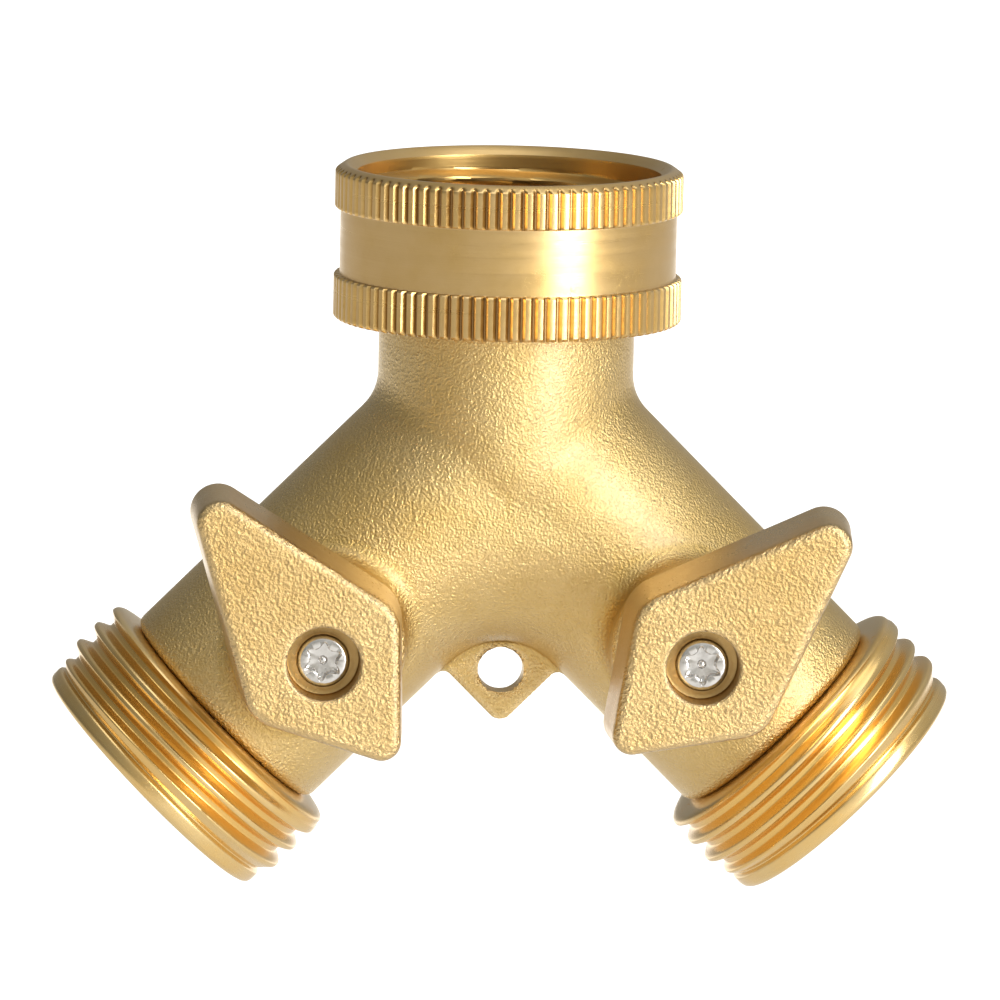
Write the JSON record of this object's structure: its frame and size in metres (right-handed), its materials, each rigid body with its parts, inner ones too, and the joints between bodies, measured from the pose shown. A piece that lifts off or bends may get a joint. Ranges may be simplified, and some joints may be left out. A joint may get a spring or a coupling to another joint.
{
  "type": "hose splitter",
  "caption": "Brass Y splitter for a garden tap: a knurled swivel nut feeds two threaded hose outlets, each with its own lever-operated ball valve.",
  "frame": {"origin": "centre of the inlet nut's mouth", "axes": "+Z out of the inlet mouth towards the tap, +X towards the right-hand outlet as the handles are seen, -Y towards the viewer of the handles"},
  "size_m": [0.0804, 0.0398, 0.0649],
  "materials": {
    "forged_brass": "fine sandblasted forging",
    "turned_brass": "turned on a lathe, straight knurls",
    "thread_brass": "machined and bright",
    "handle_brass": "coarse blasted casting",
    "stem_brass": "turned",
    "chromed_screw": "bright plated",
    "chromed_ball": "polished",
    "spring_steel": "drawn wire",
    "black_rubber": "moulded",
    "white_ptfe": "turned"
  },
  "bodies": {
    "splitter_body": {"body": "forged_brass", "nut_retaining_ring": "spring_steel", "inlet_washer": "black_rubber", "left_outlet_fitting": "thread_brass", "left_fitting_o_ring": "black_rubber", "left_upstream_seat": "white_ptfe", "left_downstream_seat": "white_ptfe", "left_thrust_washer": "white_ptfe", "right_outlet_fitting": "thread_brass", "right_fitting_o_ring": "black_rubber", "right_upstream_seat": "white_ptfe", "right_downstream_seat": "white_ptfe", "right_thrust_washer": "white_ptfe"},
    "inlet_nut": {"swivel_nut": "turned_brass"},
    "left_valve": {"left_ball": "chromed_ball", "left_stem": "stem_brass", "left_inner_stem_o_ring": "black_rubber", "left_outer_stem_o_ring": "black_rubber", "left_handle": "handle_brass", "left_handle_screw": "chromed_screw"},
    "right_valve": {"right_ball": "chromed_ball", "right_stem": "stem_brass", "right_inner_stem_o_ring": "black_rubber", "right_outer_stem_o_ring": "black_rubber", "right_handle": "handle_brass", "right_handle_screw": "chromed_screw"}
  },
  "joints": [
    {"name": "nut_spin", "type": "hinge", "parent": "splitter_body", "child": "inlet_nut", "pos_m": [0, 0, 0], "axis": [0, 0, 1], "continuous": true},
    {"name": "left_valve_turn", "type": "hinge", "parent": "splitter_body", "child": "left_valve", "pos_m": [-0.01672, 0, -0.0414], "axis": [0, -1, 0], "range_deg": [-82, 8]},
    {"name": "right_valve_turn", "type": "hinge", "parent": "splitter_body", "child": "right_valve", "pos_m": [0.01672, 0, -0.0414], "axis": [0, -1, 0], "range_deg": [0, 90]}
  ]
}
